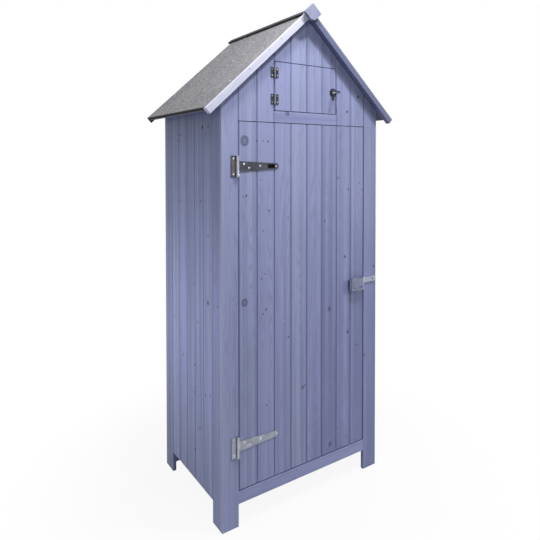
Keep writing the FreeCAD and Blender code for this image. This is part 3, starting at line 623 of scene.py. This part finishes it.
def finish_piece(name, made, material, body):
    """Turns a finished bmesh into a piece that rides on a body"""
    bmesh.ops.remove_doubles(made, verts=made.verts, dist=MERGE)
    bmesh.ops.recalc_face_normals(made, faces=made.faces)
    mesh = bpy.data.meshes.new(name)
    made.to_mesh(mesh)
    made.free()
    for face in mesh.polygons:
        face.use_smooth = True
    mesh.set_sharp_from_angle(angle=math.radians(35))
    mesh.materials.append(material)
    piece = bpy.data.objects.new(name, mesh)
    bpy.context.scene.collection.objects.link(piece)
    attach(piece, body)


def set_on(made, verts, spot, outward, turn=0.0):
    """Moves a fastener made at the origin along +Z to its spot, facing outward"""
    away = Vector(outward).to_track_quat("Z", "Y").to_matrix().to_4x4()
    spin = Matrix.Rotation(math.radians(turn), 4, "Z")
    bmesh.ops.transform(made, matrix=Matrix.Translation(spot) @ away @ spin, verts=verts)


def verts_of(geom):
    return [part for part in geom if isinstance(part, bmesh.types.BMVert)]


def edges_of(geom):
    return [part for part in geom if isinstance(part, bmesh.types.BMEdge)]


def faces_of(geom):
    return [part for part in geom if isinstance(part, bmesh.types.BMFace)]


def screw_head(made, radius):
    """A dome in two steps with a cross pressed in it, and its underside left open; returns its vertices"""
    dome = radius * 0.45
    verts = bmesh.ops.create_circle(made, cap_ends=True, radius=radius, segments=12)["verts"]
    half_step = Matrix.Rotation(math.radians(15), 3, "Z")
    bmesh.ops.rotate(made, cent=(0, 0, 0), matrix=half_step, verts=verts)
    disc = verts[0].link_faces[0]
    lifted = bmesh.ops.extrude_face_region(made, geom=[disc])["geom"]
    made.faces.remove(disc)
    crown = faces_of(lifted)[0]
    bmesh.ops.translate(made, vec=(0, 0, dome * 0.5), verts=verts_of(lifted))
    verts += verts_of(lifted)
    for inset, rise in ((0.3, 0.35), (0.22, 0.15)):
        old = set(made.verts)
        bmesh.ops.inset_region(made, faces=[crown], thickness=radius * inset)
        verts += [v for v in made.verts if v not in old]
        bmesh.ops.translate(made, vec=(0, 0, dome * rise), verts=crown.verts)
    for corner in crown.verts:
        reach = math.hypot(corner.co.x, corner.co.y)
        diagonal = abs(abs(corner.co.x) - abs(corner.co.y)) < reach * 0.2
        scale = (0.3 if diagonal else 0.62) * radius / reach
        corner.co.x *= scale
        corner.co.y *= scale
    pressed = bmesh.ops.extrude_face_region(made, geom=[crown])["geom"]
    made.faces.remove(crown)
    bmesh.ops.translate(made, vec=(0, 0, -dome * 0.8), verts=verts_of(pressed))
    return verts + verts_of(pressed)


def screw_shank(made, head):
    """A short closed shank under a head's open rim; returns its vertices"""
    rim = [e for e in made.edges if e.is_boundary and all(v in head for v in e.verts)]
    neck = bmesh.ops.extrude_edge_only(made, edges=rim)["geom"]
    bmesh.ops.scale(made, vec=(0.55, 0.55, 1), verts=verts_of(neck))
    tip = bmesh.ops.extrude_edge_only(made, edges=edges_of(neck))["geom"]
    bmesh.ops.translate(made, vec=(0, 0, -2.6 * MM), verts=verts_of(tip))
    bmesh.ops.contextual_create(made, geom=edges_of(tip))
    return verts_of(neck) + verts_of(tip)


def cross_screws(name, spots, outward, radius, material, body):
    """Pan-head screws: a domed head with a cross recess and a short shank that stops in the wood"""
    made = bmesh.new()
    for count, spot in enumerate(spots):
        head = screw_head(made, radius)
        screw = head + screw_shank(made, head)
        set_on(made, list(dict.fromkeys(screw)), spot, outward, 20 + 37 * count)
    finish_piece(name, made, material, body)


def round_nails(name, spots, outward, radius, rise, material, body, segments=8):
    """Nail heads: low domes turned from one profile, with a short shank under each"""
    made = bmesh.new()
    profile = [(0.0, rise), (0.6, rise * 0.85), (1.0, rise * 0.25), (1.0, 0.0), (0.4, 0.0), (0.4, -1.5 * MM)]
    for spot in spots:
        before = set(made.verts)
        corners = [made.verts.new((radius * x, 0, z)) for x, z in profile]
        line = [made.edges.new(pair) for pair in zip(corners[:-1], corners[1:])]
        bmesh.ops.spin(
            made, geom=corners + line, cent=(0, 0, 0), axis=(0, 0, 1), angle=math.tau, steps=segments,
            use_merge=True, use_duplicate=False,
        )
        fresh = [v for v in made.verts if v not in before]
        bmesh.ops.remove_doubles(made, verts=fresh, dist=MERGE)
        fresh = [v for v in made.verts if v not in before]
        end = min(v.co.z for v in fresh)
        last = {v for v in fresh if abs(v.co.z - end) < MERGE / 10}
        foot = [e for e in made.edges if e.is_boundary and last.issuperset(e.verts)]
        bmesh.ops.contextual_create(made, geom=foot)
        set_on(made, fresh, spot, outward)
    finish_piece(name, made, material, body)


# Screws of the T hinges, at the holes of the plates and straps
T_SCREW_R = 3.4 * MM
STRAP_HOLES = ((24, 8), (43, -5), (85, 1.5), (147, 0))


def t_hinge_screws():
    face = FRONT - T_SHEET
    spots = [(T_AXIS + T_PLATE_IN, face, mid + dz * MM) for mid in T_MIDS for dz in (-25, 25)]
    cross_screws("t_plate_screws", spots, OUT, T_SCREW_R, bright_zinc, "cabinet")
    spots = [(T_AXIS + dx * MM, face, mid + dz * MM) for mid in T_MIDS for dx, dz in STRAP_HOLES]
    cross_screws("t_strap_screws", spots, OUT, T_SCREW_R, bright_zinc, "main_door")


# Screws of the butt hinges, two in each leaf, and of the latch's rose, and its spindle's riveted end
SMALL_SCREW_R = 2.3 * MM
RIVET_R = 3.2 * MM
RIVET_RISE = 1.6 * MM


def small_door_screws():
    face = FRONT - BUTT_SHEET
    for name, dx, body in (("butt_frame_screws", -10, "cabinet"), ("butt_door_screws", 10, "small_door")):
        spots = [(BUTT_AXIS + dx * MM, face, mid + dz * MM) for mid in BUTT_MIDS for dz in (-10.5, 10.5)]
        cross_screws(name, spots, OUT, SMALL_SCREW_R, t_hinge_zinc, body)
    spots = [(LATCH_X, face, LATCH_Z + dz * MM) for dz in (-22, 12.3)]
    cross_screws("latch_rose_screws", spots, OUT, SMALL_SCREW_R, dark_steel, "small_door")
    end = [(LATCH_X, FRONT - 6.3 * MM, LATCH_Z)]
    round_nails(
        "latch_spindle_rivet", end, OUT, RIVET_R, RIVET_RISE, bright_zinc, "small_latch", 16
    )


# Broad-headed clout nails that hold the felt: four show on the left slope, and the right one has the
# same. Places are down the slope and front to back, in millimetres.
CLOUTS = ((362, 261), (373, -210), (103, -30), (217, -21))
CLOUT_R = 4.6 * MM
CLOUT_RISE = 1.1 * MM


def felt_nails(side, hand):
    down, out = slope_down(side), slope_out(side)
    spots = [Vector((0, y * MM, APEX_Z)) + down * s * MM for s, y in CLOUTS]
    name = f"{hand}_felt_nails"
    round_nails(name, spots, out, CLOUT_R, CLOUT_RISE, bright_zinc, "cabinet", 12)


# Small round nails through the wall boards into the rails behind them, and through the ledges
NAIL_R = 1.5 * MM
NAIL_RISE = 0.35 * MM
WALL_NAIL_ZS = (93 * MM, 1306 * MM)
LEDGE_NAIL_R = 2.2 * MM
LEDGE_NAIL_RISE = 0.5 * MM
LEDGE_ZS = (228 * MM, 709 * MM, 1190 * MM)
LEDGE_NAIL_DZ = 16 * MM


def board_mids(edge, width, count):
    return [edge + width * (i + 0.5) for i in range(count)]


def wall_nails(name, spots, outward):
    round_nails(name, spots, outward, NAIL_R, NAIL_RISE, nail_steel, "cabinet")


def ledge_nails():
    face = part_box("main_door_ledges")[1].y
    mids = board_mids(FRONT_EDGE, BOARD_W, 7)
    spots = [(x, face, z + dz) for x in mids for z in LEDGE_ZS for dz in (-LEDGE_NAIL_DZ, LEDGE_NAIL_DZ)]
    round_nails(
        "door_ledge_nails", spots, DEEP, LEDGE_NAIL_R, LEDGE_NAIL_RISE, nail_steel, "main_door",
    )


t_hinge_screws()
small_door_screws()
felt_nails(-1, "left")
felt_nails(1, "right")
for side, hand in ((-1, "left"), (1, "right")):
    rows = [(side * HALF_W, y, z) for y in board_mids(SIDE_EDGE, BOARD_W, 5) for z in WALL_NAIL_ZS]
    wall_nails(f"{hand}_wall_nails", rows, ACROSS * side)
rows = [(x, BACK, z) for x in board_mids(BACK_EDGE, BACK_BOARD_W, 8) for z in WALL_NAIL_ZS]
wall_nails("back_wall_nails", rows, DEEP)
ledge_nails()


def seen_directly(tree):
    """1 for what the camera sees, straight or in metal or glass"""
    rays = add_node(tree, "LightPath", out="Is Camera Ray")
    seen = add_node(tree, "Math", {0: rays, 1: rays.node.outputs["Is Glossy Ray"]}, operation="MAXIMUM")
    through = rays.node.outputs["Is Transmission Ray"]
    return add_node(tree, "Math", {0: seen, 1: through}, operation="MAXIMUM")


# The pale floor keeps the object's shadow near it, and fades to the white of the backdrop further off
def pale_floor():
    sheet = bmesh.new()
    bmesh.ops.create_grid(sheet, x_segments=2, y_segments=2, size=14)
    mesh = bpy.data.meshes.new("floor")
    sheet.to_mesh(mesh)
    sheet.free()
    made, tree, shader, place = new_material("pale_studio_floor", Roughness=0.9)
    shader.inputs["Base Color"].default_value = colour("d0d0d3")
    shader.inputs["Specular IOR Level"].default_value = 0.0
    away = add_node(tree, "VectorMath", {0: place}, out="Value", operation="LENGTH")
    fade = {0: away, 1: 0.4, 2: 1.0, 3: 0.92, 4: 1.0}
    fade = add_node(tree, "MapRange", fade, interpolation_type="SMOOTHSTEP")
    share = add_node(tree, "Math", {0: seen_directly(tree), 1: fade}, operation="MULTIPLY")
    white = add_node(tree, "Emission", {"Color": (1, 1, 1, 1), "Strength": 1.0})
    both = add_node(tree, "MixShader", {0: share, 1: shader.outputs[0], 2: white})
    tree.links.new(both, tree.nodes["Material Output"].inputs["Surface"])
    mesh.materials.append(made)
    floor = bpy.data.objects.new("floor", mesh)
    bpy.context.scene.collection.objects.link(floor)


# A white backdrop where it is seen, and a faint even light from all sides
AMBIENT = 0.06


def white_surroundings():
    world = bpy.data.worlds.new("studio")
    bpy.context.scene.world = world
    world.use_nodes = True
    tree = world.node_tree
    level = add_node(tree, "MapRange", {0: seen_directly(tree), 1: 0.0, 2: 1.0, 3: AMBIENT, 4: 1.0})
    background = tree.nodes["Background"]
    tree.links.new(level, background.inputs["Strength"])
    background.inputs["Color"].default_value = (1, 1, 1, 1)


def soft_light(name, place, aim, size, power, spread=180):
    """A square lamp of this size in metres and power in watts"""
    data = bpy.data.lights.new(name, "AREA")
    data.size = size
    data.energy = power
    data.spread = math.radians(spread)
    light = bpy.data.objects.new(name, data)
    light.location = place
    light.rotation_euler = (Vector(aim) - Vector(place)).to_track_quat("-Z", "Y").to_euler()
    bpy.context.scene.collection.objects.link(light)


# Two lamps high over the front, one to each side, throw the barge boards' soft shadows on the gable. A
# small one low at the right throws the hasp's shadow, and a third from the left keeps the upper left
# bright. A low one each fills the front and the left wall, and two behind light the felt and the back.
FRONT_MIDDLE = (0, -0.25, 1.1)


def lamps():
    soft_light("top_lamp", (-0.19, -0.74, 2.81), FRONT_MIDDLE, 0.3, 22)
    soft_light("key_lamp", (0.52, -1.0, 2.93), FRONT_MIDDLE, 0.15, 29)
    soft_light("right_lamp", (1.6, -1.05, 1.2), (0.05, -0.26, 0.3), 0.12, 2.8, spread=80)
    soft_light("left_front_lamp", (-0.7, -1.13, 1.89), FRONT_MIDDLE, 0.25, 2.7)
    soft_light("low_front_lamp", (0, -2.28, 1.256), (0, -0.1, 0.95), 0.45, 1.3)
    soft_light("low_left_lamp", (-1.1, 0.02, 0.62), (-0.33, 0.02, 0.64), 0.25, 1.7, spread=130)
    soft_light("felt_lamp", (-0.9, 0.45, 2.6), (0, -0.1, 1.1), 0.4, 4.5)
    soft_light("back_lamp", (1.7, 0.9, 2.0), (0, 0, 0.9), 1.0, 20)


# The camera stands at the left front at chest height, and its shift keeps the uprights upright
def photo_camera():
    data = bpy.data.cameras.new("camera")
    data.sensor_width = 36
    data.lens = 34.29
    data.shift_x = -0.037
    data.shift_y = -0.1833
    camera = bpy.data.objects.new("camera", data)
    yaw, pitch = 0.6081, 0.0221
    camera.location = (-1.0655, -1.6843, 1.1788)
    camera.rotation_euler = (math.pi / 2 - pitch, 0, -yaw)
    bpy.context.scene.collection.objects.link(camera)
    bpy.context.scene.camera = camera


pale_floor()
white_surroundings()
lamps()
photo_camera()
bpy.context.scene.view_settings.view_transform = "Standard"
